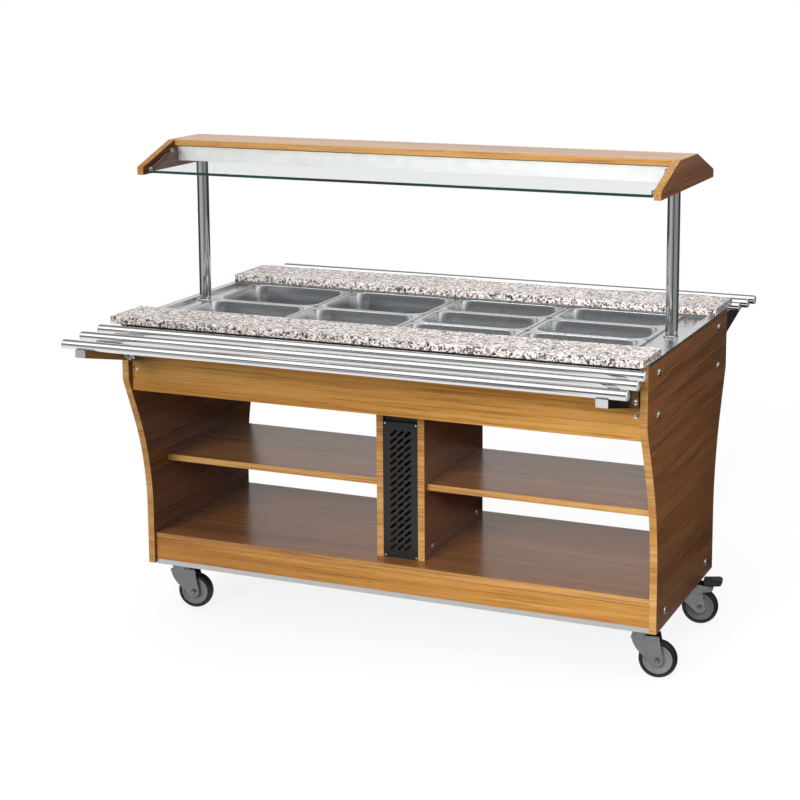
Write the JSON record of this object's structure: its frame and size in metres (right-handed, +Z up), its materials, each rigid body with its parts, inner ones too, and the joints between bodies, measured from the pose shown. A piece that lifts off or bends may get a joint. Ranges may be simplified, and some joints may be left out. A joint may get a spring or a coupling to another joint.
{
  "type": "heated buffet cart",
  "caption": "Heated buffet cart on casters: wooden body with open shelves, steel wells for food pans, stone worktops, folding tray slides and a lit glass hood on posts.",
  "frame": {"origin": "on the floor under the middle of the cart's body", "axes": "+X along the cart's length, +Y from the front to the back, +Z up"},
  "size_m": [1.5375, 1.286, 1.32],
  "materials": {
    "oak_board": "satin wood-grain laminate",
    "granite": "polished speckled granite",
    "stainless_sheet": "satin sheet",
    "stainless_pan": "satin pressed sheet",
    "polished_tube": "polished",
    "polished_arm": "polished",
    "bright_fixing": "bright",
    "anodised": "satin anodised",
    "anthracite_sheet": "fine matte coat",
    "clear_glass": "clear toughened",
    "opal_sheet": "opal",
    "lamp_glass": "frosted tube",
    "zinc_steel": "zinc plated",
    "tyre_rubber": "solid tyre on a moulded core",
    "black_plastic": "fine grain",
    "heater_sheath": "dull sheath",
    "valve_brass": "machined",
    "lever_steel": "dipped coat"
  },
  "bodies": {
    "cart": {"left_side_panel": "oak_board", "right_side_panel": "oak_board", "base_board": "oak_board", "plinth_boards": "oak_board", "plinth_trims": "anodised", "under_frame": "zinc_steel", "apron_boards": "oak_board", "front_worktop": "granite", "rear_worktop": "granite", "well_deck": "stainless_sheet", "pan_grid": "stainless_sheet", "bain_marie_tank": "stainless_sheet", "heating_element": "heater_sheath", "well_casing": "stainless_sheet", "drain_valve": "valve_brass", "left_shelf": "oak_board", "right_shelf": "oak_board", "column_boards": "oak_board", "vent_grille": "anthracite_sheet", "column_cover": "anthracite_sheet", "control_panel": "anthracite_sheet", "hood_posts": "polished_tube", "hood_cheeks": "oak_board", "hood_board": "oak_board", "light_box": "anodised", "lamp_diffuser": "opal_sheet", "lamp_tube": "lamp_glass", "hood_glass": "clear_glass", "glass_clamps": "bright_fixing", "front_tray_mounts": "bright_fixing", "rear_tray_mounts": "bright_fixing", "caster_mounts": "zinc_steel", "fasteners": "bright_fixing"},
    "front_tray": {"front_tray_tubes": "polished_tube", "front_tray_arms": "polished_arm"},
    "rear_tray": {"rear_tray_tubes": "polished_tube", "rear_tray_arms": "polished_arm"},
    "front_left_caster": {"front_left_fork": "zinc_steel"},
    "front_left_roller": {"front_left_wheel": "tyre_rubber"},
    "front_right_caster": {"front_right_fork": "zinc_steel"},
    "front_right_roller": {"front_right_wheel": "tyre_rubber"},
    "rear_left_caster": {"rear_left_fork": "zinc_steel"},
    "rear_left_roller": {"rear_left_wheel": "tyre_rubber"},
    "rear_left_pedal": {"rear_left_brake": "black_plastic"},
    "rear_right_caster": {"rear_right_fork": "zinc_steel"},
    "rear_right_roller": {"rear_right_wheel": "tyre_rubber"},
    "rear_right_pedal": {"rear_right_brake": "black_plastic"},
    "pan_1": {"food_pan_1": "stainless_pan"},
    "pan_2": {"food_pan_2": "stainless_pan"},
    "pan_3": {"food_pan_3": "stainless_pan"},
    "pan_4": {"food_pan_4": "stainless_pan"},
    "pan_5": {"food_pan_5": "stainless_pan"},
    "pan_6": {"food_pan_6": "stainless_pan"},
    "pan_7": {"food_pan_7": "stainless_pan"},
    "pan_8": {"food_pan_8": "stainless_pan"},
    "pan_9": {"food_pan_9": "stainless_pan"},
    "pan_10": {"food_pan_10": "stainless_pan"},
    "knob": {"thermostat_knob": "black_plastic"},
    "rocker": {"mains_switch": "black_plastic"},
    "drain_handle": {"drain_lever": "lever_steel"}
  },
  "joints": [
    {"name": "front_tray_fold", "type": "hinge", "parent": "cart", "child": "front_tray", "pos_m": [0, -0.423, 0.772], "axis": [1, 0, 0], "range_deg": [0, 90]},
    {"name": "rear_tray_fold", "type": "hinge", "parent": "cart", "child": "rear_tray", "pos_m": [0, 0.423, 0.772], "axis": [-1, 0, 0], "range_deg": [0, 90]},
    {"name": "front_left_swivel", "type": "hinge", "parent": "cart", "child": "front_left_caster", "pos_m": [-0.675, -0.204, 0.115], "axis": [0, 0, 1], "continuous": true},
    {"name": "front_left_roll", "type": "hinge", "parent": "front_left_caster", "child": "front_left_roller", "pos_m": [-0.63253, -0.19727, 0.05], "axis": [-0.1564, 0.9877, 0], "continuous": true},
    {"name": "front_right_swivel", "type": "hinge", "parent": "cart", "child": "front_right_caster", "pos_m": [0.675, -0.204, 0.115], "axis": [0, 0, 1], "continuous": true},
    {"name": "front_right_roll", "type": "hinge", "parent": "front_right_caster", "child": "front_right_roller", "pos_m": [0.71747, -0.19727, 0.05], "axis": [-0.1564, 0.9877, 0], "continuous": true},
    {"name": "rear_left_swivel", "type": "hinge", "parent": "cart", "child": "rear_left_caster", "pos_m": [-0.675, 0.216, 0.115], "axis": [0, 0, 1], "continuous": true},
    {"name": "rear_left_roll", "type": "hinge", "parent": "rear_left_caster", "child": "rear_left_roller", "pos_m": [-0.63253, 0.22273, 0.05], "axis": [-0.1564, 0.9877, 0], "continuous": true},
    {"name": "rear_left_brake_press", "type": "hinge", "parent": "rear_left_caster", "child": "rear_left_pedal", "pos_m": [-0.60487, 0.22711, 0.105], "axis": [-0.1564, 0.9877, 0], "range_deg": [0, 8]},
    {"name": "rear_right_swivel", "type": "hinge", "parent": "cart", "child": "rear_right_caster", "pos_m": [0.675, 0.216, 0.115], "axis": [0, 0, 1], "continuous": true},
    {"name": "rear_right_roll", "type": "hinge", "parent": "rear_right_caster", "child": "rear_right_roller", "pos_m": [0.71747, 0.22273, 0.05], "axis": [-0.1564, 0.9877, 0], "continuous": true},
    {"name": "rear_right_brake_press", "type": "hinge", "parent": "rear_right_caster", "child": "rear_right_pedal", "pos_m": [0.74513, 0.22711, 0.105], "axis": [-0.1564, 0.9877, 0], "range_deg": [0, 8]},
    {"name": "pan_1_lift", "type": "slide", "parent": "cart", "child": "pan_1", "axis": [0, 0, 1], "range_m": [0, 0.2]},
    {"name": "pan_2_lift", "type": "slide", "parent": "cart", "child": "pan_2", "axis": [0, 0, 1], "range_m": [0, 0.2]},
    {"name": "pan_3_lift", "type": "slide", "parent": "cart", "child": "pan_3", "axis": [0, 0, 1], "range_m": [0, 0.2]},
    {"name": "pan_4_lift", "type": "slide", "parent": "cart", "child": "pan_4", "axis": [0, 0, 1], "range_m": [0, 0.2]},
    {"name": "pan_5_lift", "type": "slide", "parent": "cart", "child": "pan_5", "axis": [0, 0, 1], "range_m": [0, 0.2]},
    {"name": "pan_6_lift", "type": "slide", "parent": "cart", "child": "pan_6", "axis": [0, 0, 1], "range_m": [0, 0.2]},
    {"name": "pan_7_lift", "type": "slide", "parent": "cart", "child": "pan_7", "axis": [0, 0, 1], "range_m": [0, 0.2]},
    {"name": "pan_8_lift", "type": "slide", "parent": "cart", "child": "pan_8", "axis": [0, 0, 1], "range_m": [0, 0.2]},
    {"name": "pan_9_lift", "type": "slide", "parent": "cart", "child": "pan_9", "axis": [0, 0, 1], "range_m": [0, 0.2]},
    {"name": "pan_10_lift", "type": "slide", "parent": "cart", "child": "pan_10", "axis": [0, 0, 1], "range_m": [0, 0.2]},
    {"name": "thermostat_turn", "type": "hinge", "parent": "cart", "child": "knob", "pos_m": [0.00925, 0.2, 0.56], "axis": [0, 1, 0], "range_deg": [0, 270]},
    {"name": "mains_switch_tilt", "type": "hinge", "parent": "cart", "child": "rocker", "pos_m": [0.00925, 0.206, 0.48], "axis": [1, 0, 0], "range_deg": [0, 14]},
    {"name": "drain_lever_turn", "type": "hinge", "parent": "cart", "child": "drain_handle", "pos_m": [0.15, 0.1778, 0.6215], "axis": [0, 1, 0], "range_deg": [0, 90]}
  ]
}
